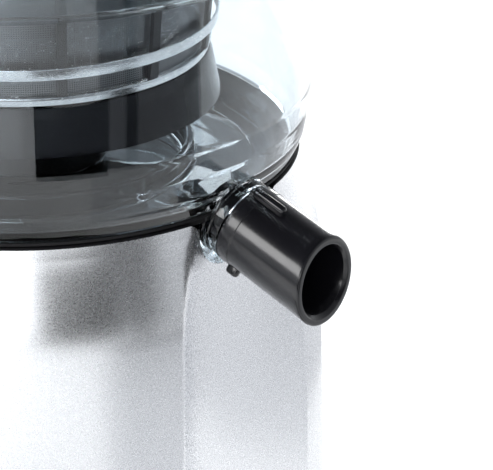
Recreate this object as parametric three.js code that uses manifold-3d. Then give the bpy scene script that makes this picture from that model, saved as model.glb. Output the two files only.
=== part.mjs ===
// A centrifugal juicer: a round motor base with a scooped side, a clear juice bowl with a
// sloping drip-stop nozzle, a spinning sieve basket, a ring-shaped pulp collector, a lid with
// a wide feed tube, and two nested pushers.
// Millimetres. +Z is up along the drive axis, z = 0 is the table, -Y is the front.
import * as THREE from "three";
import { mergeVertices } from "three/addons/utils/BufferGeometryUtils.js";
import Module from "manifold-3d";

const wasm = await Module();
wasm.setup();

// ---- driving dimensions -------------------------------------------------------------------
const GAP = 0.4; // clearance between pieces that touch
const WALL = 2.6; // housing wall
const FINE = 32; // facets round a large visible ring
const COARSE = 20; // facets round a hidden or small piece

const LIP_Z = 172.2; // top edge of the motor base
const DECK_Z = 161.2; // floor of the recess that the bowl sits in
const BODY_R = 99.7; // motor base, just below its shoulder
const PLATE_Z = 3.5; // underside of the base plate
const BOSS_Z = 2; // face of the plate's central boss

const BOWL_FLOOR = 163.6; // underside of the bowl
const BOWL_RIM = 291;
const BOWL_WALL = 2.4;
const BOWL_R = 97; // bowl, just above its rounded bottom corner

const SPOUT_AZIMUTH = THREE.MathUtils.degToRad(-39); // from +X, towards the front
const SPOUT_SLOPE = THREE.MathUtils.degToRad(19.6); // below the horizontal
const SPOUT_RHO = 94.4; // where the nozzle meets the bowl's stub
const SPOUT_Z = 167;
const SPOUT_R = 13.8;
const SPOUT_BORE = 11.4;
const NOZZLE_LENGTH = 35.2;
const SLOT_R = 17; // notch in the base that the stub drops into
const SCOOP_R = 70; // hollow in the base's side, for a jug
const SCOOP_RHO = 157.5;

const CHIMNEY_R = 19.6; // bowl's central tube, inside
const TOWER_R = 18.6;
const HUB_R = 26.6;
const SKIRT_R = 65.3;
const SKIRT_Z = 191.3;
const SIEVE_R = 60.6; // sieve wall, inside, at its foot
const SIEVE_Z = 211.2;
const SIEVE_TOP_R = 66;
const SIEVE_TOP_Z = 262;
const HOOP_Z = 217.4; // steel band round the ribs
const RIB_COUNT = 12;
const RIB_TURN = THREE.MathUtils.degToRad(14.4); // the first rib, right of the front

const TUBE_R = 39.2; // feed tube, inside
const TUBE_TOP = 376;
const PUSHER_Z = 236; // lower face of the pushers
const SHAFT_R = 5;
const KNOB_Z = 66;
const FOOT_RHO = 70;
const SCREW_RHO = 89;

// ---- colours ------------------------------------------------------------------------------
const paint = (color, roughness, metalness) =>
  new THREE.MeshStandardMaterial({ color, roughness, metalness });
const silverPaint = paint(0xc9cbcf, 0.38, 0.7);
const blackGloss = paint(0x0b0b0d, 0.12, 0);
const blackMatt = paint(0x1a1a1c, 0.6, 0);
const smokyClear = new THREE.MeshStandardMaterial({
  color: 0x7d878c, roughness: 0.05, metalness: 0, transparent: true, opacity: 0.35,
});
const darkGrey = paint(0x34353a, 0.25, 0);
const steel = paint(0xb9bcc0, 0.25, 1);
const rubber = paint(0x121213, 0.85, 0);
const copper = paint(0xb06a35, 0.4, 1);
const boardGreen = paint(0x1f5a3a, 0.6, 0);

// ---- solids -------------------------------------------------------------------------------
const root = new THREE.Group();

// A closed three.js geometry as a manifold-3d solid with its faces pointing out.
function solid(geometry) {
  const bare = geometry.clone();
  bare.deleteAttribute("normal");
  bare.deleteAttribute("uv");
  const merged = mergeVertices(bare, 1e-4);
  const index = Array.from(merged.index.array);
  const make = (triVerts) =>
    new wasm.Manifold(
      new wasm.Mesh({
        numProp: 3,
        vertProperties: new Float32Array(merged.attributes.position.array),
        triVerts: new Uint32Array(triVerts),
      }),
    );
  const made = make(index);
  if (made.volume() > 0) return made;
  for (let i = 0; i < index.length; i += 3)
    [index[i + 1], index[i + 2]] = [index[i + 2], index[i + 1]];
  return make(index);
}

function geometryOf(body) {
  const mesh = body.getMesh();
  const stride = mesh.numProp;
  const position = new Float32Array(mesh.numVert * 3);
  for (let i = 0; i < mesh.numVert; i++)
    position.set(mesh.vertProperties.subarray(i * stride, i * stride + 3), i * 3);
  const geometry = new THREE.BufferGeometry();
  geometry.setAttribute("position", new THREE.BufferAttribute(position, 3));
  geometry.setIndex(new THREE.BufferAttribute(new Uint32Array(mesh.triVerts), 1));
  geometry.computeVertexNormals();
  return geometry;
}

function piece(name, body, material) {
  const mesh = new THREE.Mesh(geometryOf(body), material);
  mesh.name = name;
  root.add(mesh);
  return mesh;
}

// A profile of [radius, height] points turned about Z. It is closed back to its first point.
function turned(profile, facets = FINE) {
  const points = [...profile, profile[0]].map(([r, z]) => new THREE.Vector2(r, z));
  return solid(new THREE.LatheGeometry(points, facets).rotateX(Math.PI / 2));
}

function rod(radius, low, high, facets = COARSE) {
  return turned([[0, low], [radius, low], [radius, high], [0, high]], facets);
}

function ring(inner, outer, low, high, facets = COARSE) {
  return turned([[inner, low], [outer, low], [outer, high], [inner, high]], facets);
}

function block(sizeX, sizeY, sizeZ, x, y, z) {
  return solid(new THREE.BoxGeometry(sizeX, sizeY, sizeZ).translate(x, y, z));
}

function at(body, x, y, z) {
  return body.translate([x, y, z]);
}

// The same body set at an azimuth, in degrees, round the drive axis.
function round(body, degrees) {
  return body.rotate([0, 0, degrees]);
}

// The spout's own frame: +Z out along its axis, +Y the upper side, at the joint with the nozzle.
const outwards = new THREE.Vector3(
  Math.cos(SPOUT_AZIMUTH) * Math.cos(SPOUT_SLOPE),
  Math.sin(SPOUT_AZIMUTH) * Math.cos(SPOUT_SLOPE),
  -Math.sin(SPOUT_SLOPE),
);
const upper = new THREE.Vector3(0, 0, 1).addScaledVector(outwards, Math.sin(SPOUT_SLOPE)).normalize();
const spoutFrame = new THREE.Matrix4()
  .makeBasis(new THREE.Vector3().crossVectors(upper, outwards), upper, outwards)
  .setPosition(SPOUT_RHO * Math.cos(SPOUT_AZIMUTH), SPOUT_RHO * Math.sin(SPOUT_AZIMUTH), SPOUT_Z);

function onSpout(body) {
  return solid(geometryOf(body).applyMatrix4(spoutFrame));
}

// ---- motor base ---------------------------------------------------------------------------
function scoop(radius) {
  const x = SCOOP_RHO * Math.cos(SPOUT_AZIMUTH);
  const y = SCOOP_RHO * Math.sin(SPOUT_AZIMUTH);
  return at(rod(radius, -5, 200, 64), x, y, 0);
}

// The notch for the bowl's stub: round below, open upwards.
function slot(radius) {
  const inner = -38;
  const outer = 26;
  const bore = onSpout(rod(radius, inner, outer, 24));
  const above = block(outer - inner, 2 * radius, 60, SPOUT_RHO + (inner + outer) / 2, 0, SPOUT_Z + 30);
  return bore.add(round(above, THREE.MathUtils.radToDeg(SPOUT_AZIMUTH)));
}

function housing() {
  const outside = turned([
    [0, 6], [100, 6], [102, 9], [101.2, 73], [BODY_R, 135], [97.9, 146.7], [95.3, 157.8],
    [92.5, 170], [91.7, LIP_Z], [90.9, LIP_Z], [90.2, 168.5], [86.5, 164], [76, DECK_Z], [0, DECK_Z],
  ]).subtract(scoop(SCOOP_R)).subtract(slot(SLOT_R));
  const hollow = turned([
    [0, 3], [98.2, 3], [99.3, 9], [98.5, 70], [97, 135], [95.2, 146.2], [92.6, 157.2],
    [91.4, 160.6], [89.5, 161.4], [85.5, 160.2], [76, DECK_Z - WALL], [0, DECK_Z - WALL],
  ]).subtract(scoop(SCOOP_R + WALL)).subtract(slot(SLOT_R + WALL));
  let shell = outside.subtract(hollow);
  for (const azimuth of screwAzimuths) {
    const post = at(rod(5.5, 7, 34, 20), SCREW_RHO, 0, 0).add(
      block(12, 4, 27, SCREW_RHO + 6, 0, 20.5),
    );
    const bore = at(rod(2.1, 0, 26, 16), SCREW_RHO, 0, 0);
    shell = shell.add(round(post, azimuth)).subtract(round(bore, azimuth));
  }
  const knobHole = solid(new THREE.CylinderGeometry(5, 5, 20, 20).translate(0, -100, KNOB_Z));
  const glandHole = solid(new THREE.CylinderGeometry(6.6, 6.6, 20, 24).translate(0, 100, GLAND_Z));
  return shell
    .subtract(rod(TOWER_R + GAP, 150, 170))
    .subtract(at(rod(3.2, 150, 170, 16), ...PIN_PLACE, 0))
    .subtract(knobHole)
    .subtract(glandHole);
}

const screwAzimuths = [15, 105, 195, 285];
const footAzimuths = [45, 135, 225, 315];
const GLAND_Z = 24;
const PIN_PLACE = [-50, 30]; // interlock pin, left of the centre

piece("housing_shell", housing(), silverPaint);

function basePlate() {
  let plate = turned([
    [0, BOSS_Z], [30, BOSS_Z], [32, PLATE_Z], [97.2, PLATE_Z], [97.8, 4.2], [97.8, 6.5], [0, 6.5],
  ]).subtract(scoop(SCOOP_R + WALL + GAP));
  for (const azimuth of screwAzimuths)
    plate = plate.subtract(round(at(rod(2.2, 0, 10, 16), SCREW_RHO, 0, 0), azimuth));
  for (const azimuth of footAzimuths)
    plate = plate.subtract(round(at(rod(4.4, 0, 10, 16), FOOT_RHO, 0, 0), azimuth));
  for (let i = 0; i < 12; i++)
    plate = plate.subtract(round(block(14, 4, 12, 45, 0, 5), 15 + 30 * i));
  return plate;
}
piece("base_plate", basePlate(), blackMatt);

footAzimuths.forEach((azimuth, i) => {
  const foot = turned([[0, 0], [9, 0], [10, 1], [10, 3.1], [4, 3.1], [4, 8], [0, 8]], 16);
  piece(`foot_${i + 1}`, round(at(foot, FOOT_RHO, 0, 0), azimuth), rubber);
});
screwAzimuths.forEach((azimuth, i) => {
  const screw = turned([[0, 1.4], [2.8, 1.4], [3.6, 2], [3.6, 3.1], [1.7, 3.1], [1.7, 22], [0, 23]], 10);
  piece(`plate_screw_${i + 1}`, round(at(screw, SCREW_RHO, 0, 0), azimuth), steel);
});

// ---- motor --------------------------------------------------------------------------------
const STATOR_LOW = 52;
const STATOR_HIGH = 98;
const BOLT_RHO = 51.5;
const boltAzimuths = [0, 90, 180, 270];

function motorFrame(low) {
  let frame = turned([
    [11, low - 2], [15, low - 2], [15, low], [56, low], [56, low + 3], [15, low + 3],
    [15, low + 6], [11, low + 6],
  ], 20);
  for (const azimuth of boltAzimuths) {
    frame = frame.subtract(round(at(rod(2.3, low - 3, low + 8, 12), BOLT_RHO, 0, 0), azimuth));
    frame = frame.subtract(round(block(12, 18, 20, 30, 0, low), azimuth));
  }
  return frame;
}
piece("motor_frame_bottom", motorFrame(24), steel);
piece("motor_frame_top", motorFrame(121), steel);
piece("stator_core", ring(25, 49, STATOR_LOW, STATOR_HIGH, 24), steel);
const winding = (low, high) => turned([
  [29, low], [42, low], [44, low + 3], [44, high - 3], [42, high], [29, high],
  [27, high - 3], [27, low + 3],
], 20);
piece("winding_bottom", winding(33, STATOR_LOW - GAP), copper);
piece("winding_top", winding(STATOR_HIGH + GAP, 117), copper);
const bearing = (low, high) => ring(SHAFT_R + 0.3, 10.7, low, high, 24);
piece("motor_bearing_bottom", bearing(22.5, 29.5), steel);
piece("motor_bearing_top", bearing(119.5, 126.5), steel);
boltAzimuths.forEach((azimuth, i) => {
  const bolt = turned([
    [0, 20.4], [3.6, 20.4], [3.6, 23.6], [2, 23.6], [2, 128.4], [0, 128.4],
  ], 12);
  piece(`motor_bolt_${i + 1}`, round(at(bolt, BOLT_RHO, 0, 0), azimuth), steel);
  const damper = turned([[0, 6.9], [7, 6.9], [5.5, 11], [5.5, 19], [7, 23.6], [0, 23.6]], 12);
  piece(`motor_damper_${i + 1}`, round(at(damper, 47.5, 0, 0), azimuth + 45), rubber);
});
piece("run_capacitor", at(rod(14, 8, 58, 24), -72, 14, 0), darkGrey);
piece("control_board", block(46, 1.6, 34, 0, -84, KNOB_Z - 2), boardGreen);
piece("switch_body", block(26, 8, 26, 0, -89.4, KNOB_Z), darkGrey);

const frontRing = (profile, facets) => {
  const points = [...profile, profile[0]].map(([r, d]) => new THREE.Vector2(r, -d));
  return solid(new THREE.LatheGeometry(points, facets));
};
// Depth runs out of the front, towards -Y.
piece("control_bezel", at(frontRing([
  [19.5, 101.0], [24, 101.0], [24, 103.4], [22.6, 104.6], [19.5, 104.6],
], 26).subtract(turned([[0, 30], [102.2, 30], [101.4, 90], [0, 90]], FINE).translate([0, 0, -KNOB_Z])),
0, 0, KNOB_Z), steel);
piece("control_knob", at(frontRing([
  [0, 93.8], [3, 93.8], [3, 104.8], [18.8, 104.8], [18.8, 112], [17, 116.5], [15.5, 117.5], [0, 117.5],
], 26).add(block(3, 3.2, 24, 0, -118, 0)), 0, 0, KNOB_Z), blackGloss);
piece("cord_gland", solid(new THREE.LatheGeometry([
  [3.6, 95], [6.2, 95], [6.2, 103.2], [9.5, 103.2], [8.5, 106.5], [6, 112], [3.6, 112], [3.6, 95],
].map(([r, d]) => new THREE.Vector2(r, d)), 24).translate(0, 0, GLAND_Z)), rubber);

// ---- drive --------------------------------------------------------------------------------
piece("motor_shaft", rod(SHAFT_R, 9, 206, 24), steel);
piece("motor_rotor", ring(SHAFT_R + 0.3, 24.4, STATOR_LOW, STATOR_HIGH, 26), steel);
function fan() {
  let body = ring(SHAFT_R + 0.3, 9, 10, 19, 24).add(ring(8, 37, 17.5, 19, 32));
  for (let i = 0; i < 9; i++)
    body = body.add(round(block(28, 1.6, 7.6, 22.5, 0, 13.9).rotate([18, 0, 0]).translate([0, 0, 0.4]), 40 * i));
  return body;
}
piece("cooling_fan", fan(), darkGrey);

function hexagon(circumradius, low, high) {
  return rod(circumradius, low, high, 6);
}
piece("drive_coupling", hexagon(9.2, 197.4, 208.4).subtract(rod(SHAFT_R + 0.3, 190, 206.6, 24)), steel);
piece("drive_tower", turned([
  [6.6, 150], [28, 150], [28, DECK_Z - WALL - GAP], [TOWER_R, DECK_Z - WALL - GAP],
  [TOWER_R, 194], [16.6, 196], [11, 196], [11, 186], [6.6, 184],
], 26), blackMatt);
piece("tower_bearing", bearing(186.3, 192.6), steel);
piece("tower_seal", ring(SHAFT_R + 0.4, 10.7, 193, 195.6, 24), rubber);
piece("bowl_gasket", turned([
  [89, 170.2], [90.1, 170.2], [90.5, 172.6], [91.7, 172.6], [91.7, 173.8], [90.9, 173.6], [89.6, 172.3],
], FINE).subtract(slot(SLOT_R + 0.3)), rubber);
piece("interlock_pin", at(turned([
  [0, 152], [2.8, 152], [2.8, 156.8], [4.6, 156.8], [4.6, 158.2], [2.8, 158.2],
  [2.8, 162.6], [2.2, 163.2], [0, 163.2],
], 16), ...PIN_PLACE, 0), blackMatt);
piece("interlock_switch", block(20, 8, 12, ...PIN_PLACE, 142.2), blackMatt);

// ---- juice bowl ---------------------------------------------------------------------------
function bowl() {
  const outer = [
    [78, BOWL_FLOOR], [84, 166], [87.6, 170], [88.9, 172], [90.3, 174], [92.3, 175.2], [94.1, 180],
    [95.6, 188], [BOWL_R, 204], [98, 286], [99.5, 288], [99.5, BOWL_RIM],
  ];
  const inner = [
    [95.6, BOWL_RIM], [BOWL_R - BOWL_WALL, 204.2], [93.2, 188.4], [91.6, 181], [89.9, 177.2],
    [87.4, 175], [84.8, 170.6], [82, 168], [77.4, 166],
  ];
  const centre = [
    [56.2, 166], [55.4, 175.6], [53.4, 175.6], [52.6, 166], [24, 166], [22, 168], [21.8, 201],
    [CHIMNEY_R, 201], [CHIMNEY_R, BOWL_FLOOR],
  ];
  const space = turned([[CHIMNEY_R, 300], ...inner, ...centre.slice(0, -2), [CHIMNEY_R, 201]]);
  const stub = onSpout(rod(SPOUT_R, -37, 0, 24)).subtract(space);
  const spigot = onSpout(rod(SPOUT_BORE, -1, 12, 26));
  const bore = onSpout(rod(9.6, -36, 13, 26));
  const valve = onSpout(quadrants(9.8, 10.4, 12));
  return turned([...outer, ...inner, ...centre])
    .add(stub).add(spigot).subtract(bore).add(valve);
}

// A disc with two opposite quarters open, so that a second one shuts it at a quarter turn.
function quadrants(radius, low, high) {
  const disc = rod(radius, low, high, 26);
  const open = (sign) => {
    const quarter = [[0.9 * sign, 0], [9 * sign, -8.1], [13 * sign, 0], [9 * sign, 8.1]];
    const shape = new THREE.Shape(quarter.map(([x, y]) => new THREE.Vector2(y, x)));
    return solid(new THREE.ExtrudeGeometry(shape, { depth: 8, bevelEnabled: false }).translate(0, 0, low - 4));
  };
  return disc.subtract(open(1).add(open(-1)).intersect(rod(radius - 1.4, low - 2, high + 2, 26)));
}
piece("juice_bowl", bowl(), smokyClear);
piece("nozzle_seal", onSpout(ring(SPOUT_BORE + 0.3, 12.4, 1.2, 3.2, 26)), rubber);

function nozzle() {
  let body = turned([
    [13.8, 0.4], [14.1, 1], [14.1, 5.2], [13.9, 5.5], [14, NOZZLE_LENGTH - 9], [14.5, NOZZLE_LENGTH + 9],
    [0, NOZZLE_LENGTH + 9], [0, 0.4],
  ], 32);
  body = body.subtract(turned([
    [0, 0], [12.8, 0], [12.8, 4], [11.8, 4.6], [11.8, 12.4], [0, 12.4],
  ], 24));
  body = body.subtract(turned([
    [0, 14], [10.3, 14], [10.7, NOZZLE_LENGTH - 12], [11, NOZZLE_LENGTH + 10], [0, NOZZLE_LENGTH + 10],
  ], 24));
  body = body.subtract(rod(10.2, 12, 14.5, 26)).add(quadrants(10.6, 12.5, 14));
  for (const side of [1, -1])
    body = body.add(at(rod(2, 4.6, 17, 14), 0, side * 15.5, 0));
  // The mouth is cut upright, across the line that the nozzle points along.
  const reach = SPOUT_RHO + NOZZLE_LENGTH * Math.cos(SPOUT_SLOPE);
  const beyond = round(block(60, 80, 120, reach + 30, 0, SPOUT_Z), THREE.MathUtils.radToDeg(SPOUT_AZIMUTH));
  return onSpout(body).subtract(beyond);
}
piece("spout_nozzle", nozzle(), blackGloss);

// ---- sieve basket -------------------------------------------------------------------------
piece("basket_hub", turned([
  [0, 212], [54.2, 212], [55, 211.2], [55, 204.8], [52.6, 204.8], [52.6, 208.4], [HUB_R, 208.4],
  [HUB_R, 169], [25.8, 168.4], [24.2, 168.4],
  [24.2, 204.5], [13.5, 204.5], [13.5, 198.8], [0, 198.8],
]).subtract(hexagon(9.8, 190, 209)), blackGloss);
piece("drip_skirt", turned([
  [55.4, 204.8], [55.4, 207.4], [62.2, 207.4], [63.2, 203], [SKIRT_R - 0.3, SKIRT_Z + 1.4],
  [SKIRT_R, SKIRT_Z], [63.9, SKIRT_Z], [61.6, 203], [60.8, 204.8],
]), darkGrey);
piece("sieve_ring", turned([
  [60, 207.8], [62, 207.8], [62.3, 208.2], [62.3, 210.2], [61.7, 210.8], [60, 210.8],
]), steel);
piece("sieve_wall", turned([
  [SIEVE_R, SIEVE_Z], [SIEVE_R + 0.7, SIEVE_Z], [SIEVE_TOP_R + 0.7, SIEVE_TOP_Z], [SIEVE_TOP_R, SIEVE_TOP_Z],
]), steel);

function sieveRadius(z) {
  return SIEVE_R + ((SIEVE_TOP_R - SIEVE_R) * (z - SIEVE_Z)) / (SIEVE_TOP_Z - SIEVE_Z);
}

// A flat band that follows the sieve wall's slope, a little outside it.
function hoop(low, high, gap = 1.1, thick = 1.6) {
  return turned([
    [sieveRadius(low) + gap, low], [sieveRadius(low) + gap + thick, low],
    [sieveRadius(high) + gap + thick, high], [sieveRadius(high) + gap, high],
  ]);
}
piece("sieve_hoop", hoop(HOOP_Z, HOOP_Z + 4, 2.9, 0.8), steel);

// Ribs and a rim that stand just outside the sieve wall and hold it.
function basketFrame() {
  let frame = turned([
    [66.2, 262.4], [68.4, 262], [73, 267.4], [73, 270.4], [71.4, 270.4], [67.6, 265.8], [66.2, 265.4],
  ]).add(hoop(259.5, 263));
  const foot = SIEVE_Z;
  const shape = new THREE.Shape([
    [sieveRadius(foot) + 1.1, foot], [sieveRadius(foot) + 2.5, foot],
    [sieveRadius(262) + 2.5, 262], [sieveRadius(262) + 1.1, 262],
  ].map(([r, z]) => new THREE.Vector2(r, z)));
  const rib = new THREE.ExtrudeGeometry(shape, { depth: 3.2, bevelEnabled: false })
    .translate(0, 0, -1.6).rotateX(Math.PI / 2);
  for (let i = 0; i < RIB_COUNT; i++) {
    const azimuth = -90 + THREE.MathUtils.radToDeg(RIB_TURN) + (360 / RIB_COUNT) * i;
    frame = frame.add(round(solid(rib), azimuth));
  }
  return frame;
}
piece("basket_frame", basketFrame(), blackMatt);

function gratingDisc() {
  let disc = ring(5.4, 54.8, 212.4, 213.6, FINE);
  for (const [radius, count] of [[22, 8], [34, 12], [46, 16]])
    for (let i = 0; i < count; i++) {
      const tooth = solid(new THREE.ConeGeometry(1.5, 2.4, 4).rotateX(Math.PI / 2).translate(radius, 0, 214.5));
      disc = disc.add(round(tooth, (360 / count) * i + radius));
    }
  return disc;
}
piece("grating_disc", gratingDisc(), steel);
piece("disc_nut", turned([[0, 212.4], [5, 212.4], [5, 214], [10, 214], [9.6, 217], [6, 219.5], [0, 220]], 18), blackGloss);

// ---- pulp collector, lid and pushers --------------------------------------------------------
piece("pulp_collector", turned([
  [77, 246], [92.6, 246], [94.2, 248], [94.4, 270], [94.9, 289], [95, 291.4], [99.2, 291.4], [99.2, 293.4],
  [93.2, 293.4], [92.6, 270], [92.4, 249], [91.6, 248], [79.8, 248], [78.8, 249.2], [78.8, 267], [77, 267],
]), smokyClear);
piece("lid_dome", turned([
  [100, 284], [102.2, 284], [102.4, 294], [100.6, 298.4], [96, 301.8], [85, 305.6], [65, 309.4], [42, 311.9],
  [42, 309.4], [64.5, 306.9], [84, 303], [93.6, 299.2], [96.5, 296.5], [96.5, 293.8], [100, 293.8],
]), smokyClear);
piece("feed_tube", turned([
  [TUBE_R, 222], [41.6, 222], [41.6, 312.3], [48, 312.3], [48, 314.2], [43.6, 316], [43.2, 364],
  [46.4, 374], [46.4, TUBE_TOP], [44.6, TUBE_TOP], [41.2, 366], [TUBE_R, 361],
], 32), smokyClear);
piece("pusher_body", turned([
  [21, PUSHER_Z], [38.4, PUSHER_Z], [38.4, TUBE_TOP + GAP], [47.5, TUBE_TOP + GAP], [47.5, 380.2],
  [36.2, 380.2], [36.2, PUSHER_Z + 2.4], [23, PUSHER_Z + 2.4], [23, 383], [21, 383],
], 32), blackMatt);
piece("pusher_cap", turned([
  [23.6, 380.6], [47.5, 380.6], [47.5, 383], [45, 386.4], [40, 387.8], [21.2, 387.8], [21.2, 383.6], [23.6, 383.6],
], 32), silverPaint);
piece("small_pusher", turned([
  [0, PUSHER_Z + 3], [20.3, PUSHER_Z + 3], [20.3, 390], [18.4, 390], [18.4, PUSHER_Z + 5], [0, PUSHER_Z + 5],
], 26), blackMatt);
piece("small_pusher_cap", turned([
  [0, 390.4], [18, 390.4], [26, 390.4], [26.5, 393], [24.5, 396], [20, 397.4], [0, 398],
], 26), blackGloss);

export default root;
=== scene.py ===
"""The looks of the centrifugal juicer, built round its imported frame.

Shapes are given in millimetres in the frame's own axes: +Z up along the drive axis, -Y to the front.
"""
import math

import bmesh
import bpy
from mathutils import Matrix, Vector


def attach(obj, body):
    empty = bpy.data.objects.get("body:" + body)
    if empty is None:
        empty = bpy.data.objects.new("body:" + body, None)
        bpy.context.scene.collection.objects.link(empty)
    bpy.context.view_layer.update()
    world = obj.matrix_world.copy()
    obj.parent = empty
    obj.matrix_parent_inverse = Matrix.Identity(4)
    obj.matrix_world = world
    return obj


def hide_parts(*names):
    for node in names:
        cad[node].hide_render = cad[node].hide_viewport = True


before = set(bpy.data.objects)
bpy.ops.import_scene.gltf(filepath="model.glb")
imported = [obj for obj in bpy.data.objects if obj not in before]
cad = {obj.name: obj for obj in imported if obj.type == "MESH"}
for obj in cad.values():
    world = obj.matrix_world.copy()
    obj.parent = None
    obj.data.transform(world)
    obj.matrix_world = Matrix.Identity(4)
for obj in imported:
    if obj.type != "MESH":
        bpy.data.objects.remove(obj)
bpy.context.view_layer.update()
scene = bpy.context.scene

MM = 0.001
AROUND = 192  # steps round a large ring
SPOUT_TURN = -39  # degrees about the drive axis
SPOUT_AZIMUTH = math.radians(SPOUT_TURN)
SPOUT_SLOPE = math.radians(19.6)
SPOUT_RHO = 94.4  # from the drive axis to the end of the clear stub
SPOUT_Z = 167
NOZZLE_LENGTH = 35.2
MOUTH_LEAN = math.radians(18.3)  # the mouth is cut nearly upright
GRIP_TURN = 10  # degrees about the spout, from straight up
NUB_TURN = 154
SCOOP_R = 70  # the jug hollow in the base's side
SCOOP_RHO = 157.5
SCOOP_HALF = 18.2  # degrees from the hollow's middle to its edge
SLOT_R = 17  # the notch for the stub
SLOT_IN = 56
SLOT_OUT = 122
SLOT_TOP = 230
NOTCH_FLARE = 7.5  # rounding where the notch meets the lip
LIP_Z = 172.2
LIP_SHADE_Z = 171.2  # painted shade: the lip is painted black above this, for the dark gap under the bowl
DECK_Z = 161.2
RECESS_R = 90.4
WALL = 2.6
PIN_X = -50
PIN_Y = 30
KNOB_Z = 66
GLAND_Z = 24
RIB_COUNT = 12
RIB_TURN = 14.4  # degrees from the front to the first rib


# ---- materials ----------------------------------------------------------------------------
class Mat:
    """A principled material with short helpers for its procedural detail."""

    def __init__(self, name, **inputs):
        self.mat = bpy.data.materials.new(name)
        self.mat.use_nodes = True
        self.tree = self.mat.node_tree
        self.bsdf = self.tree.nodes["Principled BSDF"]
        for key, value in inputs.items():
            self.bsdf.inputs[key].default_value = value
        self.coords = self.tree.nodes.new("ShaderNodeTexCoord").outputs["Object"]
        self.normal = None

    def node(self, kind, **settings):
        made = self.tree.nodes.new(kind)
        for key, value in settings.items():
            if hasattr(made, key):
                setattr(made, key, value)
            else:
                made.inputs[key].default_value = value
        return made

    def link(self, a, b):
        self.tree.links.new(a, b)

    def noise(self, scale, detail=2.0, stretch=(1, 1, 1)):
        mapping = self.node("ShaderNodeMapping")
        mapping.inputs["Scale"].default_value = stretch
        self.link(self.coords, mapping.inputs["Vector"])
        made = self.node("ShaderNodeTexNoise", Scale=scale, Detail=detail)
        self.link(mapping.outputs[0], made.inputs["Vector"])
        return made.outputs["Fac"]

    def cells(self, scale):
        made = self.node("ShaderNodeTexVoronoi", Scale=scale)
        self.link(self.coords, made.inputs["Vector"])
        return made.outputs["Color"]

    def spread(self, value, low, high):
        made = self.node("ShaderNodeMapRange")
        made.inputs["To Min"].default_value = low
        made.inputs["To Max"].default_value = high
        made.inputs["From Min"].default_value = 0.25
        made.inputs["From Max"].default_value = 0.75
        self.link(value, made.inputs["Value"])
        return made.outputs["Result"]

    def tint(self, value, dark, light):
        made = self.node("ShaderNodeValToRGB")
        made.color_ramp.elements[0].position = 0.3
        made.color_ramp.elements[1].position = 0.7
        made.color_ramp.elements[0].color = (*dark, 1)
        made.color_ramp.elements[1].color = (*light, 1)
        self.link(value, made.inputs["Fac"])
        self.link(made.outputs["Color"], self.bsdf.inputs["Base Color"])
        return self

    def rough(self, value, low, high):
        self.link(self.spread(value, low, high), self.bsdf.inputs["Roughness"])
        return self

    def bump(self, value, depth_mm, strength=1.0):
        made = self.node("ShaderNodeBump", Strength=strength, Distance=depth_mm * MM)
        self.link(value, made.inputs["Height"])
        if self.normal:
            self.link(self.normal, made.inputs["Normal"])
        self.normal = made.outputs["Normal"]
        self.link(self.normal, self.bsdf.inputs["Normal"])
        return self


def silver_paint():
    m = Mat("silver_paint", Metallic=0.95)
    m.tint(m.noise(3200, 1.0), (0.71, 0.72, 0.745), (0.80, 0.81, 0.83))
    m.rough(m.noise(1500, 1.0), 0.25, 0.30)
    m.bump(m.noise(3200, 0.0), 0.0003, 0.3)
    return m.mat


def smoky(name, colour, roughness=0.02):
    m = Mat(name, Roughness=roughness, IOR=1.49)
    m.bsdf.inputs["Transmission Weight"].default_value = 1.0
    m.tint(m.noise(8, 2.0), tuple(c * 0.985 for c in colour), colour)
    m.bump(m.noise(22, 1.0), 0.05, 0.25)
    return m.mat


def plastic(name, dark, light, rough_low, rough_high, grain=700, depth=0.006, coat=0.0, specular=0.5):
    m = Mat(name)
    m.bsdf.inputs["Coat Weight"].default_value = coat
    m.bsdf.inputs["Coat Roughness"].default_value = 0.05
    m.bsdf.inputs["Specular IOR Level"].default_value = specular
    m.tint(m.noise(25, 3.0), dark, light)
    m.rough(m.noise(90, 3.0), rough_low, rough_high)
    m.bump(m.noise(grain, 2.0), depth, 0.6)
    return m.mat


def metal(name, dark, light, rough_low, rough_high, stretch=(1, 1, 1), grain=500, depth=0.006):
    m = Mat(name, Metallic=1.0)
    m.tint(m.noise(40, 3.0), dark, light)
    lines = m.noise(grain, 2.0, stretch)
    m.rough(lines, rough_low, rough_high)
    m.bump(lines, depth, 0.7)
    return m.mat


def rubber():
    m = Mat("black_rubber")
    m.bsdf.inputs["Specular IOR Level"].default_value = 0.2
    m.tint(m.noise(60, 3.0), (0.006, 0.006, 0.007), (0.012, 0.012, 0.013))
    m.rough(m.noise(150, 2.0), 0.62, 0.8)
    m.bump(m.noise(900, 2.0), 0.02, 0.8)
    return m.mat


def winding():
    m = Mat("copper_winding", Metallic=0.9)
    m.tint(m.noise(120, 2.0), (0.42, 0.16, 0.06), (0.74, 0.36, 0.17))
    wire = m.node("ShaderNodeTexWave", Scale=160.0, Distortion=2.5)
    wire.inputs["Detail"].default_value = 2.0
    m.link(m.coords, wire.inputs["Vector"])
    m.rough(m.noise(80, 2.0), 0.25, 0.42)
    m.bump(wire.outputs["Fac"], 0.25, 0.8)
    return m.mat


def board():
    m = Mat("board_green")
    m.tint(m.noise(70, 3.0), (0.010, 0.075, 0.035), (0.020, 0.135, 0.065))
    m.rough(m.noise(200, 2.0), 0.3, 0.5)
    m.bump(m.cells(260), 0.03, 0.5)
    return m.mat


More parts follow.
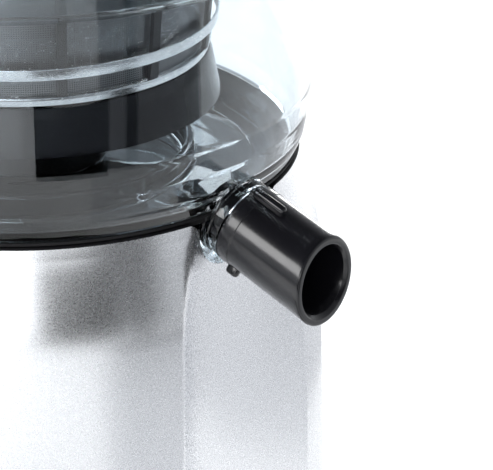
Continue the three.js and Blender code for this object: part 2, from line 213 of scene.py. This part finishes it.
SILVER = silver_paint()
SMOKY = smoky("smoky_bowl", (0.82, 0.875, 0.91))
SMOKY_LID = smoky("smoky_lid", (0.83, 0.86, 0.875))
SMOKY_PULP = smoky("smoky_collector", (0.74, 0.78, 0.80), 0.05)
GLOSS = plastic("black_gloss", (0.003, 0.003, 0.004), (0.006, 0.006, 0.008), 0.16, 0.25, 260, 0.003, 0.15)
MATT = plastic("black_matt", (0.014, 0.014, 0.016), (0.026, 0.026, 0.028), 0.42, 0.56, 1100, 0.03)
# Painted shade: near-black paint for the housing's recess under the bowl and its lip, standing for shadow.
RECESS_SHADE = plastic(
    "recess_painted_shade", (0.003, 0.003, 0.004), (0.006, 0.006, 0.007), 0.5, 0.65, 900, 0.02, specular=0.15,
)
GREY = plastic(
    "dark_grey", (0.009, 0.009, 0.011), (0.015, 0.015, 0.018), 0.14, 0.24, 260, 0.003, 0.1, specular=0.15,
)
STEEL = metal("bright_steel", (0.55, 0.56, 0.57), (0.78, 0.79, 0.80), 0.16, 0.30, (1, 1, 6))
SIEVE_STEEL = metal("sieve_steel", (0.12, 0.123, 0.13), (0.20, 0.204, 0.21), 0.30, 0.42, (1, 1, 4))
MOTOR_STEEL = metal(
    "lamination_steel", (0.30, 0.31, 0.33), (0.46, 0.47, 0.49), 0.35, 0.5, (1, 1, 12), 900, 0.03,
)
RUBBER = rubber()
COPPER = winding()
BOARD = board()


# ---- shapes -------------------------------------------------------------------------------
def fillet(points, steps=5):
    """A closed outline whose corners (x, y, radius) are rounded. A corner without a radius stays."""
    out = []
    count = len(points)
    for i, corner in enumerate(points):
        here = Vector(corner[:2])
        radius = corner[2] if len(corner) > 2 else 0
        before = Vector(points[i - 1][:2]) - here
        after = Vector(points[(i + 1) % count][:2]) - here
        if not radius or before.length < 1e-6 or after.length < 1e-6:
            out.append(tuple(here))
            continue
        a = before.normalized()
        b = after.normalized()
        half = a.angle(b) / 2
        if half > math.radians(89.5):
            out.append(tuple(here))
            continue
        reach = min(radius / math.tan(half), 0.49 * before.length, 0.49 * after.length)
        radius = reach * math.tan(half)
        centre = here + (a + b).normalized() * (radius / math.sin(half))
        start = here + a * reach - centre
        end = here + b * reach - centre
        turn = start.angle(end)
        for k in range(steps + 1):
            t = k / steps
            arm = (start * math.sin((1 - t) * turn) + end * math.sin(t * turn)) / math.sin(turn)
            out.append(tuple(centre + arm))
    return out


def lathe(profile, around=AROUND, place=None, radius_at=None):
    """Vertices and faces of a closed outline of (radius, height) turned about Z."""
    verts = []
    faces = []
    rows = []
    angles = around if isinstance(around, list) else [2 * math.pi * i / around for i in range(around)]
    for r, z in profile:
        if r < 1e-6:
            rows.append([len(verts)] * len(angles))
            verts.append(Vector((0, 0, z)))
            continue
        rows.append(list(range(len(verts), len(verts) + len(angles))))
        for angle in angles:
            rr = radius_at(r, z, angle) if radius_at else r
            verts.append(Vector((rr * math.cos(angle), rr * math.sin(angle), z)))
    count = len(rows)
    for i in range(count):
        low = rows[i]
        high = rows[(i + 1) % count]
        if low[0] == low[1] and high[0] == high[1]:
            continue
        for k in range(len(angles)):
            n = (k + 1) % len(angles)
            face = []
            for v in (low[k], low[n], high[n], high[k]):
                if v not in face:
                    face.append(v)
            faces.append(face)
    if place:
        verts = [place @ v for v in verts]
    return verts, faces


def mesh_object(name, verts, faces):
    mesh = bpy.data.meshes.new(name)
    mesh.from_pydata([Vector(v) * MM for v in verts], [], faces)
    bm = bmesh.new()
    bm.from_mesh(mesh)
    bmesh.ops.remove_doubles(bm, verts=bm.verts, dist=1e-7)
    bmesh.ops.recalc_face_normals(bm, faces=bm.faces)
    if bm.calc_volume(signed=True) < 0:
        bmesh.ops.reverse_faces(bm, faces=bm.faces)
    bm.to_mesh(mesh)
    bm.free()
    obj = bpy.data.objects.new(name, mesh)
    scene.collection.objects.link(obj)
    return obj


def apply_modifiers(obj):
    bpy.context.view_layer.update()
    graph = bpy.context.evaluated_depsgraph_get()
    made = bpy.data.meshes.new_from_object(obj.evaluated_get(graph))
    old = obj.data
    obj.modifiers.clear()
    obj.data = made
    bpy.data.meshes.remove(old)


def boolean(obj, other, operation="DIFFERENCE"):
    """Cuts or joins other, which is used up."""
    modifier = obj.modifiers.new("cut", "BOOLEAN")
    modifier.operation = operation
    modifier.solver = "EXACT"
    modifier.object = other
    apply_modifiers(obj)
    mesh = other.data
    bpy.data.objects.remove(other)
    bpy.data.meshes.remove(mesh)


def bevel(obj, width_mm, angle, segments):
    modifier = obj.modifiers.new("bevel", "BEVEL")
    modifier.width = width_mm * MM
    modifier.segments = segments
    modifier.limit_method = "ANGLE"
    modifier.angle_limit = math.radians(angle)
    modifier.use_clamp_overlap = True
    modifier.miter_outer = "MITER_ARC"
    apply_modifiers(obj)


def dress(obj, material, body, stands_for, sharp=32):
    """Gives a piece its material, its smooth shading and its body, and hides the nodes it stands for."""
    mesh = obj.data
    mesh.materials.clear()
    mesh.materials.append(material)
    mesh.polygons.foreach_set("use_smooth", [True] * len(mesh.polygons))
    mesh.set_sharp_from_angle(angle=math.radians(sharp))
    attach(obj, body)
    if stands_for:
        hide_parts(*stands_for)


def turned(name, outline, material, body, stands_for, around=AROUND, place=None):
    obj = mesh_object(name, *lathe(fillet(outline), around, place))
    dress(obj, material, body, stands_for)


def rod(name, radius, low, high, place=None, around=64):
    return mesh_object(name, *lathe([(0, low), (radius, low), (radius, high), (0, high)], around, place))


def box(name, low, high, place=None):
    xs, ys, zs = zip(low, high)
    corners = [Vector((x, y, z)) for x in xs for y in ys for z in zs]
    if place:
        corners = [place @ c for c in corners]
    faces = [(0, 1, 3, 2), (4, 6, 7, 5), (0, 4, 5, 1), (2, 3, 7, 6), (0, 2, 6, 4), (1, 5, 7, 3)]
    return mesh_object(name, corners, faces)


def azimuth(degrees):
    return Matrix.Rotation(math.radians(degrees), 4, "Z")


def facing(y_out):
    """Local +Z points out of the front (-Y) for y_out = -1, or out of the back for 1."""
    return Matrix.Rotation(math.radians(-90 * y_out), 4, "X")


outwards = Vector((
    math.cos(SPOUT_AZIMUTH) * math.cos(SPOUT_SLOPE),
    math.sin(SPOUT_AZIMUTH) * math.cos(SPOUT_SLOPE),
    -math.sin(SPOUT_SLOPE),
))
upper = (Vector((0, 0, 1)) + outwards * math.sin(SPOUT_SLOPE)).normalized()
spout_side = upper.cross(outwards)
spout_start = (SPOUT_RHO * math.cos(SPOUT_AZIMUTH), SPOUT_RHO * math.sin(SPOUT_AZIMUTH), SPOUT_Z)
SPOUT = Matrix.Translation(spout_start) @ Matrix((spout_side, upper, outwards)).transposed().to_4x4()
KNOB_PLACE = Matrix.Translation((0, 0, KNOB_Z)) @ facing(-1)
GLAND_PLACE = Matrix.Translation((0, 0, GLAND_Z)) @ facing(1)


# ---- motor base ---------------------------------------------------------------------------
def scoop_reach(angle, radius):
    """How far out the wall of the jug hollow is at this azimuth."""
    off = angle - SPOUT_AZIMUTH
    across = SCOOP_RHO * math.sin(off)
    if math.cos(off) < 0 or abs(across) >= radius:
        return 1e3
    return SCOOP_RHO * math.cos(off) - math.sqrt(radius * radius - across * across)


def soft_min(a, b, k):
    h = max(k - abs(a - b), 0) / k
    return min(a, b) - h * h * k / 4


def scooped(radius, soften):
    def radius_at(r, z, angle):
        return soft_min(r, scoop_reach(angle, radius), soften)
    return radius_at


def wall_angles():
    """Steps round the wall, close together where the hollow's edges are."""
    angles = []
    degrees = -180.0
    while degrees < 180 - 1e-6:
        angles.append(math.radians(degrees))
        off = abs(abs(degrees - SPOUT_TURN) - SCOOP_HALF)
        degrees += 0.3 if off < 3 else 0.6 if off < 7 else 1.8
    return angles


def slot_section(radius, centre):
    """The trough's outline across the spout: round below, upright, then flared up to the lip."""
    points = []
    for k in range(33):
        angle = math.pi * k / 32
        points.append((-radius * math.cos(angle), centre - radius * math.sin(angle) / math.cos(SPOUT_SLOPE)))
    right = []
    for k in range(9):
        angle = math.pi / 2 * k / 8
        x = radius + NOTCH_FLARE * (1 - math.cos(angle))
        right.append((x, LIP_Z - NOTCH_FLARE + NOTCH_FLARE * math.sin(angle)))
    right.append((radius + NOTCH_FLARE, SLOT_TOP))
    return points + right + [(-x, z) for x, z in reversed(right)]


def slot_cutter(radius):
    """A trough along the spout."""
    verts = []
    faces = []
    steps = 24
    turn = azimuth(SPOUT_TURN)
    for i in range(steps + 1):
        rho = SLOT_IN + (SLOT_OUT - SLOT_IN) * i / steps
        section = slot_section(radius, SPOUT_Z - (rho - SPOUT_RHO) * math.tan(SPOUT_SLOPE))
        verts += [turn @ Vector((rho, x, z)) for x, z in section]
    count = len(verts) // (steps + 1)
    for i in range(steps):
        for k in range(count):
            n = (k + 1) % count
            faces.append((i * count + k, i * count + n, (i + 1) * count + n, (i + 1) * count + k))
    faces.append(list(range(count)))
    faces.append([steps * count + k for k in range(count)])
    return mesh_object("slot_cutter", verts, faces)


def housing():
    wall = [
        (102, 9), (101.85, 20), (101.7, 34), (101.5, 52), (101.2, 73), (100.75, 95), (100.25, 115),
        (99.7, 135), (99.35, 139), (98.8, 143), (97.9, 147.2), (96.75, 152), (95.4, 157.6), (94.1, 163),
        (93.1, 167.2), (92.75, 168.4),
    ]
    outside = [(0, 6), (60, 6), *fillet([(99, 6), (101.9, 6, 2.2), (102, 9)])[1:-1], *wall]
    lip = [(92.75, 168.4), (92.1, LIP_Z, 1.2), (90.6, LIP_Z, 0.5), (90.2, 168.6), (80, 165)]
    outside += fillet(lip)[1:-1]
    outside += [(89.6, 167), (88.2, 165.2), (86.4, 164), (82, 162.7), (76, 161.35), (70, DECK_Z), (0, DECK_Z)]
    angles = wall_angles()
    shell = mesh_object("housing", *lathe(outside, angles, None, scooped(SCOOP_R, 0.7)))
    hollow_outline = [
        (0, 3), (98.2, 3), (99.3, 9), (98.5, 70), (97, 135), (95.2, 146.2), (92.6, 157.2), (91.4, 160.6),
        (89.5, 161.4), (85.5, 160.2), (76, DECK_Z - WALL), (0, DECK_Z - WALL),
    ]
    hollow = mesh_object("hollow", *lathe(hollow_outline, angles, None, scooped(SCOOP_R + WALL, 1.0)))
    boolean(shell, slot_cutter(SLOT_R))
    boolean(hollow, slot_cutter(SLOT_R + WALL))
    boolean(shell, hollow)
    boolean(shell, rod("tower_hole", 19, 150, 170, None, 96))
    boolean(shell, rod("pin_hole", 3.2, 150, 170, Matrix.Translation((PIN_X, PIN_Y, 0))))
    boolean(shell, rod("knob_hole", 5, 90, 110, KNOB_PLACE))
    boolean(shell, rod("gland_hole", 6.6, 90, 110, GLAND_PLACE))
    bevel(shell, 0.45, 42, 2)
    dress(shell, SILVER, "base", ["housing_shell"], 38)
    # Painted shade: a second, near-black slot for the recess and lip faces, where shadow falls.
    shell.data.materials.append(RECESS_SHADE)
    for face in shell.data.polygons:
        at = face.center / MM
        shaded_recess = at.z > DECK_Z - WALL - 2 and at.xy.length < RECESS_R
        if (shaded_recess or at.z > LIP_SHADE_Z) and face.normal.z > -0.9:
            face.material_index = 1  # painted shade: the recess under the bowl and the lip are painted black


housing()

# A black rubber ring at the lip: partly a seal, partly painted shade standing for the dark gap between the
# bowl and the lip.
turned("gasket_and_gap_shade_ring", [
    (89, 170.2), (90.1, 170.2), (90.5, 172.5), (91.7, 172.6, 0.3), (91.7, 173.7, 0.3), (90.9, 173.7),
    (89.6, 172.3),
], RUBBER, "base", ["bowl_gasket"])


# ---- juice bowl ---------------------------------------------------------------------------
def juice_bowl():
    outline = [
        (78, 163.6, 2), (84, 166, 3), (87.6, 170, 3), (88.9, 172, 1.5), (90.4, 174, 1), (92.1, 174.6, 0.8),
        (94.1, 180, 4), (95.5, 187.6, 12), (96.6, 197, 20), (97.1, 212, 30), (98, 286, 1), (99.5, 288, 1),
        (99.5, 291, 0.6),
        (95.6, 291, 0.6), (94.7, 212, 30), (94.2, 197.6, 20), (93.1, 188.4, 12), (91.6, 181, 5),
        (89.9, 177.4, 3), (87.2, 174.6, 3), (84.6, 170.6, 3), (81.6, 168, 3), (76.5, 166, 2),
        (56.6, 166, 1), (55.8, 174.4, 0.8), (53.2, 174.4, 0.8), (52.4, 166, 1),
        (24.6, 166, 1.5), (22, 168.5, 1.5), (21.8, 201, 0.8), (19.6, 201, 0.8), (19.6, 163.6, 0.8),
    ]
    bowl = mesh_object("juice_bowl_clear", *lathe(fillet(outline, 4)))
    inside = [
        (19.7, 300), (95.4, 300), (95.4, 291), (94.6, 212), (94.1, 197.6), (93, 188.4), (91.5, 181),
        (89.8, 177.4), (87.1, 174.6), (84.5, 170.6), (81.5, 168.1), (76.4, 166.1), (24, 166.1),
        (21.9, 168.5), (21.9, 201.1), (19.7, 201.1),
    ]
    stub_outline = [
        (0, -40), (14.6, -40), (14.6, -9.6), (14.3, -9), (13.5, -8.4, 0.3), (13.5, -7.6, 0.2),
        (14.1, -7.2, 0.25), (14.1, -6.4, 0.25), (13.5, -6, 0.2), (13.5, -5.2, 0.2), (14, -4.8, 0.2),
        (14, -4.1, 0.2), (13.6, -3.7, 0.2), (13.6, -0.3, 0.3), (0, -0.3),
    ]
    stub = mesh_object("stub", *lathe(fillet(stub_outline, 3), 96, SPOUT))
    boolean(stub, mesh_object("inside", *lathe(inside)))
    boolean(bowl, stub, "UNION")
    boolean(bowl, rod("spigot", 11.4, -3, 12, SPOUT, 96), "UNION")
    boolean(bowl, rod("bore", 9.6, -37, 13, SPOUT, 96))
    dress(bowl, SMOKY, "bowl", ["juice_bowl"], 30)


juice_bowl()


# ---- nozzle -------------------------------------------------------------------------------
def nozzle():
    length = NOZZLE_LENGTH
    outline = fillet([
        (13.3, 0.3, 0.4), (14.1, 0.3, 0.5), (14.12, 5.2, 0.15), (13.92, 5.4, 0.1), (13.95, 12),
        (14.05, length - 12), (14.15, length - 6), (14.4, length, 0.9), (12.2, length, 0.7),
        (11.2, length - 1.2, 0.6),
        (10.85, length - 2.6), (10.6, 15), (10.3, 12.6), (11.7, 12.6), (11.7, 5), (12.9, 4.4), (12.9, 0.3),
    ], 4)
    refined = []
    for i, (r, s) in enumerate(outline):
        r2, s2 = outline[(i + 1) % len(outline)]
        steps = max(1, round(math.hypot(r2 - r, s2 - s) / 1.5))
        refined += [(r + (r2 - r) * k / steps, s + (s2 - s) * k / steps) for k in range(steps)]
    verts, faces = lathe(refined, 128)
    lean = math.tan(MOUTH_LEAN)
    lean_length = 15
    sheared = []
    for v in verts:
        t = min(max((v.z - (length - lean_length)) / lean_length, 0), 1)
        sheared.append(SPOUT @ Vector((v.x, v.y, v.z - t * t * (3 - 2 * t) * v.y * lean)))
    obj = mesh_object("nozzle", sheared, faces)
    for turn, low, high in ((GRIP_TURN, 1.6, 14.6), (NUB_TURN, 3.2, 8)):
        place = SPOUT @ Matrix.Rotation(math.radians(turn), 4, "Z")
        bar = box("grip", (-1.45, 12.6, low), (1.45, 16.8, high), place)
        bevel(bar, 1.3, 30, 4)
        boolean(obj, bar, "UNION")
    boolean(obj, rod("nozzle_bore", 10.3, 3, 20, SPOUT, 96))
    dress(obj, GLOSS, "nozzle", ["spout_nozzle"], 30)


nozzle()
turned("drain_sleeve", [
    (8.6, -12), (9.3, -12, 0.3), (9.3, 12.4), (10.9, 12.4), (10.9, 14), (8.6, 14),
], GREY, "nozzle", ["spout_nozzle"], 96, SPOUT)


# ---- sieve basket -------------------------------------------------------------------------
SIEVE_R = 60.6
SIEVE_Z = 211.2
HOOP_Z = 217.4
SIEVE_TOP_R = 66
SIEVE_TOP_Z = 262


def sieve_radius(z):
    return SIEVE_R + (SIEVE_TOP_R - SIEVE_R) * (z - SIEVE_Z) / (SIEVE_TOP_Z - SIEVE_Z)


turned("hub_cone", [
    (0, 212), (55, 212, 0.9), (55, 204.8, 0.3), (52.6, 204.8, 0.3), (52.6, 208.4, 1), (30, 208.4, 2),
    (26.6, 204, 2), (26.6, 169, 0.8), (24.2, 168.4, 0.4), (24.2, 204.5, 1), (13.5, 204.5), (13.5, 198.8),
    (9.9, 198.8), (9.9, 209), (0, 209),
], GLOSS, "basket", ["basket_hub"])
turned("skirt", [
    (55.4, 204.8), (55.4, 207.4, 0.3), (61.9, 207.4, 0.5), (62.8, 204, 6), (64.9, 193.2, 4),
    (65.3, 191.3, 0.4), (64.2, 191.3, 0.3), (61.7, 203, 3), (60.8, 204.8, 0.5),
], GREY, "basket", ["drip_skirt"])
turned("sieve_foot_ring", [
    (60, 207.8), (61.7, 207.8, 0.3), (61.9, 209.9, 0.2), (62.5, 210.1, 0.3), (62.5, 210.9, 0.3),
    (61.5, 211, 0.3), (60, 211),
], STEEL, "basket", ["sieve_ring"])


def sieve_mesh():
    """A conical metal sheet with a regular grid of square holes, as real geometry."""
    around = 520
    rows = 68
    share = 0.52  # of the pitch that is metal
    verts = []
    faces = []
    for j in range(rows * 2 + 2):
        row = j // 2
        z = SIEVE_Z + (SIEVE_TOP_Z - SIEVE_Z) * (row + (share if j % 2 else 0)) / (rows + share)
        for i in range(around * 2):
            angle = 2 * math.pi * (i // 2 + (share if i % 2 else 0)) / around
            r = sieve_radius(z) + 0.2
            verts.append((r * math.cos(angle), r * math.sin(angle), z))
    width = around * 2
    for j in range(rows * 2 + 1):
        for i in range(width):
            if j % 2 and i % 2:
                continue
            n = (i + 1) % width
            faces.append((j * width + i, j * width + n, (j + 1) * width + n, (j + 1) * width + i))
    obj = mesh_object("sieve_mesh", verts, faces)
    dress(obj, SIEVE_STEEL, "basket", ["sieve_wall"])


sieve_mesh()


def band(name, low, high, gap, thick):
    """A flat band that follows the sieve's slope, a little outside it."""
    return mesh_object(name, *lathe(fillet([
        (sieve_radius(low) + gap, low, 0.2), (sieve_radius(low) + gap + thick, low, 0.3),
        (sieve_radius(high) + gap + thick, high, 0.3), (sieve_radius(high) + gap, high, 0.2),
    ])))


dress(band("sieve_band", HOOP_Z, HOOP_Z + 4, 2.9, 0.8), STEEL, "basket", ["sieve_hoop"])


def basket_frame():
    base = mesh_object("frame", *lathe(fillet([
        (66.2, 262.4), (68.4, 262, 0.8), (73, 267.4, 1), (73, 270.4, 0.6), (71.4, 270.4, 0.5),
        (67.6, 265.8, 1), (66.2, 265.4),
    ])))
    boolean(base, band("hoop", 259.5, 263, 0.8, 1.8), "UNION")
    for i in range(RIB_COUNT):
        rib = box("rib", (0, -1.6, 0), (1.6, 1.6, 1))
        turn = azimuth(RIB_TURN - 90 + 360 / RIB_COUNT * i)
        for v in rib.data.vertices:
            x, y, z = v.co / MM
            height = SIEVE_TOP_Z if z > 0.5 else SIEVE_Z
            v.co = (turn @ Vector((x + sieve_radius(height) + 0.9, y, height))) * MM
        boolean(base, rib, "UNION")
    dress(base, MATT, "basket", ["basket_frame"])


basket_frame()

turned("disc_plate", [
    (5.4, 212.4), (54.8, 212.4, 0.3), (54.8, 213.6, 0.3), (5.4, 213.6),
], STEEL, "basket", ())
turned("disc_centre_nut", [
    (0, 212.4), (5, 212.4), (5, 214), (10, 214, 0.5), (9.6, 217, 1.5), (6, 219.6, 1.5), (0, 220),
], GLOSS, "basket", ["disc_nut"], 64)


def grating_teeth():
    """Rings of small teeth, each a foot of four corners and a leaning tip."""
    foot = [(x, y, 213.5) for x, y in ((-1.2, -0.9), (1.2, -0.9), (1.2, 0.9), (-1.2, 0.9))]
    tooth = foot + [(0.2, 0.4, 215.7)]
    verts = []
    faces = []
    for ring, count in ((16, 16), (22, 24), (28, 30), (34, 36), (40, 44), (46, 50), (51, 56)):
        for i in range(count):
            turn = azimuth(360 * i / count + ring * 7)
            start = len(verts)
            verts += [turn @ Vector((ring + x, y, z)) for x, y, z in tooth]
            for k in range(4):
                faces.append((start + k, start + (k + 1) % 4, start + 4))
            faces.append((start + 3, start + 2, start + 1, start))
    obj = mesh_object("disc_teeth", verts, faces)
    dress(obj, STEEL, "basket", ["grating_disc"], 10)


grating_teeth()


# ---- pulp collector, lid and pushers ------------------------------------------------------
turned("pulp_ring", [
    (77, 246, 0.6), (92.6, 246, 1.5), (94.2, 248, 1.5), (94.4, 270, 4), (94.9, 289.5, 1), (95.4, 291.4, 0.4),
    (99.2, 291.4, 0.4), (99.2, 293.3, 0.5), (93.4, 293.3, 0.6), (92.6, 270, 4), (92.4, 249, 1),
    (91.4, 247.8, 0.8), (79.6, 247.8, 0.6), (78.8, 249.2, 0.6), (78.8, 267, 0.5), (77, 267, 0.5),
], SMOKY_PULP, "collector", ["pulp_collector"])
turned("lid_shell", [
    (100, 284, 0.3), (102.2, 284, 0.6), (102.4, 294, 2), (100.6, 298.4, 4), (96, 301.8, 5), (85, 305.6, 20),
    (65, 309.4, 30), (42, 311.9, 0.4), (42, 309.4, 0.4), (64.5, 306.9, 30), (84, 303, 20), (93.6, 299.2, 5),
    (96.5, 296.5, 3), (96.5, 293.8, 0.3), (100, 293.8, 0.3),
], SMOKY_LID, "lid", ["lid_dome"])
turned("tube_shell", [
    (39.2, 222, 0.5), (41.6, 222, 0.8), (41.6, 312.3, 0.3), (48, 312.3, 0.4), (48, 314.2, 0.8),
    (43.6, 316, 1.5), (43.2, 364, 4), (46.4, 374, 3), (46.4, 376, 0.6), (44.6, 376, 0.6), (41.2, 366, 5),
    (39.2, 361, 5),
], SMOKY_LID, "lid", ["feed_tube"], 128)
turned("pusher_shell", [
    (21, 236, 0.5), (38.4, 236, 1.2), (38.4, 376.4, 0.5), (47.5, 376.4, 1), (47.5, 380.2, 0.4), (36.2, 380.2),
    (36.2, 238.4), (23, 238.4), (23, 383), (21, 383),
], MATT, "pusher", ["pusher_body"], 128)
turned("pusher_top", [
    (23.6, 380.6), (47.5, 380.6, 0.4), (47.5, 383, 2), (45, 386.4, 3), (40, 387.8, 2), (21.2, 387.8, 0.8),
    (21.2, 383.6), (23.6, 383.6),
], SILVER, "pusher", ["pusher_cap"], 128)
turned("inner_pusher_shell", [
    (0, 239), (20.3, 239, 1), (20.3, 390), (18.4, 390), (18.4, 241), (0, 241),
], MATT, "inner_pusher", ["small_pusher"], 96)
turned("inner_pusher_top", [
    (0, 390.4), (26, 390.4, 0.6), (26.5, 393, 1.4), (24.5, 396, 1.8), (20, 397.4, 4), (0, 398),
], GLOSS, "inner_pusher", ["small_pusher_cap"], 96)

# ---- drive and controls -------------------------------------------------------------------
turned("tower_shell", [
    (6.6, 150), (28, 150), (28, 158.2), (18.6, 158.2), (18.6, 194, 1), (16.6, 196, 1), (11, 196, 0.3),
    (11, 186), (6.6, 184),
], MATT, "base", ["drive_tower"], 96)
turned("knob_ring", [
    (19.5, 100.6), (24, 100.6), (24, 103.4, 1), (22.6, 104.6, 1), (19.5, 104.6, 0.4),
], STEEL, "base", ["control_bezel"], 96, KNOB_PLACE)


def knob():
    obj = mesh_object("knob", *lathe(fillet([
        (0, 93.8), (3, 93.8), (3, 104.8), (18.8, 104.8, 0.4), (18.8, 112, 2), (17, 116.5, 2),
        (15.5, 117.4, 1), (0, 117.4),
    ]), 96, KNOB_PLACE))
    grip = box("grip", (-1.5, -12, 115), (1.5, 12, 119.6), KNOB_PLACE)
    bevel(grip, 1.1, 30, 3)
    boolean(obj, grip, "UNION")
    grooves = 36
    for i in range(grooves):
        place = KNOB_PLACE @ azimuth(360 / grooves * i) @ Matrix.Translation((19, 0, 0))
        boolean(obj, rod("groove", 0.55, 106, 111.6, place, 10))
    dress(obj, GLOSS, "knob", ["control_knob"])


knob()
turned("gland", [
    (3.6, 95), (6.2, 95), (6.2, 103.2), (9.5, 103.2, 0.8), (8.5, 106.5, 0.8), (6, 111.9, 0.6),
    (3.6, 111.9, 0.4),
], RUBBER, "base", ["cord_gland"], 64, GLAND_PLACE)

# ---- carried-over nodes -------------------------------------------------------------------
finish = {
    "base_plate": MATT, "stator_core": MOTOR_STEEL, "winding_bottom": COPPER, "winding_top": COPPER,
    "motor_frame_bottom": STEEL, "motor_frame_top": STEEL, "motor_bearing_bottom": STEEL,
    "motor_bearing_top": STEEL, "run_capacitor": GREY, "control_board": BOARD, "switch_body": MATT,
    "tower_bearing": STEEL, "tower_seal": RUBBER, "interlock_switch": MATT, "interlock_pin": MATT,
    "motor_shaft": STEEL, "motor_rotor": MOTOR_STEEL, "cooling_fan": GREY, "drive_coupling": STEEL,
    "nozzle_seal": RUBBER,
}
for i in range(1, 5):
    finish[f"foot_{i}"] = RUBBER
    finish[f"motor_damper_{i}"] = RUBBER
    finish[f"plate_screw_{i}"] = STEEL
    finish[f"motor_bolt_{i}"] = STEEL
for name, material in finish.items():
    mesh = cad[name].data
    mesh.materials.clear()
    mesh.materials.append(material)

# ---- studio -------------------------------------------------------------------------------
def floor_material():
    m = Mat("studio_floor", Roughness=0.55)
    m.tint(m.noise(3, 2.0), (0.86, 0.87, 0.88), (0.90, 0.905, 0.91))
    m.bump(m.noise(300, 2.0), 0.02, 0.2)
    return m.mat


FLOOR_HALF = 6000
floor_corners = [(x * FLOOR_HALF, y * FLOOR_HALF, 0) for x, y in ((-1, -1), (1, -1), (1, 1), (-1, 1))]
floor = mesh_object("floor", floor_corners, [(0, 1, 2, 3)])
floor.data.materials.append(floor_material())

world = bpy.data.worlds.new("studio")
scene.world = world
world.use_nodes = True
sky = world.node_tree.nodes
direction = sky.new("ShaderNodeTexCoord").outputs["Generated"]
height = sky.new("ShaderNodeSeparateXYZ")
shade = sky.new("ShaderNodeValToRGB")
shade.color_ramp.elements[0].position = 0.0
shade.color_ramp.elements[0].color = (0.93, 0.96, 1.0, 1)
shade.color_ramp.elements[1].position = 0.75
shade.color_ramp.elements[1].color = (0.05, 0.052, 0.056, 1)
middle = shade.color_ramp.elements.new(0.3)
middle.color = (0.55, 0.57, 0.60, 1)
world.node_tree.links.new(direction, height.inputs[0])
world.node_tree.links.new(height.outputs["Z"], shade.inputs["Fac"])
world.node_tree.links.new(shade.outputs["Color"], sky["Background"].inputs["Color"])
scene.view_settings.view_transform = "Standard"


def area(name, place, target, size, power):
    """A soft box in metres and watts."""
    light = bpy.data.lights.new(name, "AREA")
    light.shape = "RECTANGLE"
    light.size, light.size_y = size
    light.energy = power
    obj = bpy.data.objects.new(name, light)
    scene.collection.objects.link(obj)
    obj.location = place
    obj.rotation_euler = (Vector(target) - Vector(place)).to_track_quat("-Z", "Y").to_euler()
    return obj


area("top_light", (0.15, 0.5, 1.3), (0.1, 0.2, 0), (1.0, 0.8), 14).visible_glossy = False
area("back_floor_light", (0.4, 1.5, 1.3), (0.3, 0.7, 0), (1.4, 1.0), 30).visible_glossy = False
area("front_floor_light", (-0.3, -0.5, 0.55), (-0.2, -0.42, 0), (0.4, 0.4), 2.4).visible_glossy = False
area("left_light", (-1.0, -0.7, 0.75), (0, 0, 0.15), (0.7, 0.5), 8)
area("front_left_light", (-0.35, -1.5, 0.4), (0, 0, 0.15), (0.7, 0.6), 5.4)
area("fill_light", (0.17, -0.62, 0.30), (0, 0, 0.15), (0.16, 0.16), 0.1)
area("back_light", (0.40, 1.35, 0.24), (0.1, 0, 0.2), (0.25, 0.25), 1.6)


def card(name, corners, material, inner=False):
    """A card that the camera doesn't see, only gloss. With inner, light inside clear walls meets it too."""
    obj = mesh_object(name, corners, [(0, 1, 2, 3)])
    obj.data.materials.append(material)
    obj.visible_camera = False
    obj.visible_shadow = False
    obj.visible_diffuse = False
    obj.visible_transmission = inner


def round_about(degrees, distance, z):
    turn = math.radians(degrees)
    return (math.cos(turn) * distance, math.sin(turn) * distance, z)


def flag(name, left, right, low, high, distance, material, inner=False):
    """An upright card between two azimuths and two heights."""
    edges = ((left, low), (right, low), (right, high), (left, high))
    card(name, [round_about(turn, distance, z) for turn, z in edges], material, inner)


def floor_card(name, left, right, near, far, material, inner=False):
    """Cards lying on the floor round one side of the appliance."""
    steps = 6
    above_floor = 0.8
    for i in range(steps):
        a = left + (right - left) * i / steps
        b = left + (right - left) * (i + 1) / steps
        edges = ((a, near), (b, near), (b, far), (a, far))
        corners = [round_about(turn, distance, above_floor) for turn, distance in edges]
        card(f"{name}_{i}", corners, material, inner)


GREY_CARD = plastic("grey_card", (0.50, 0.51, 0.53), (0.56, 0.57, 0.59), 0.7, 0.8, 300, 0.01)
DIM_CARD = plastic("dim_card", (0.17, 0.175, 0.185), (0.21, 0.215, 0.225), 0.7, 0.8, 300, 0.01)
BLACK_CARD = plastic(
    "black_card", (0.001, 0.001, 0.001), (0.002, 0.002, 0.002), 0.9, 1.0, 300, 0.01, specular=0.0,
)
flag("low_flag", -84, -62, 127, 178, 200, BLACK_CARD, True)
flag("bar_flag", -53.5, -49.5, 95, 175, 300, BLACK_CARD, True)
flag("high_flag", -61, -40, 130, 420, 520, MATT)
floor_card("near_card", -130, -5, 125, 160, MATT)
floor_card("front_card", -64, 70, 226, 460, GREY_CARD)
floor_card("far_card", -60, -20, 460, 760, DIM_CARD, True)

camera = bpy.data.objects.new("camera", bpy.data.cameras.new("camera"))
scene.collection.objects.link(camera)
scene.camera = camera
camera.location = (0.0740, -0.8222, 0.5020)
camera.rotation_euler = (math.radians(66), 0, 0)
camera.data.sensor_width = 36
camera.data.lens = 187.77176
camera.data.clip_end = 20
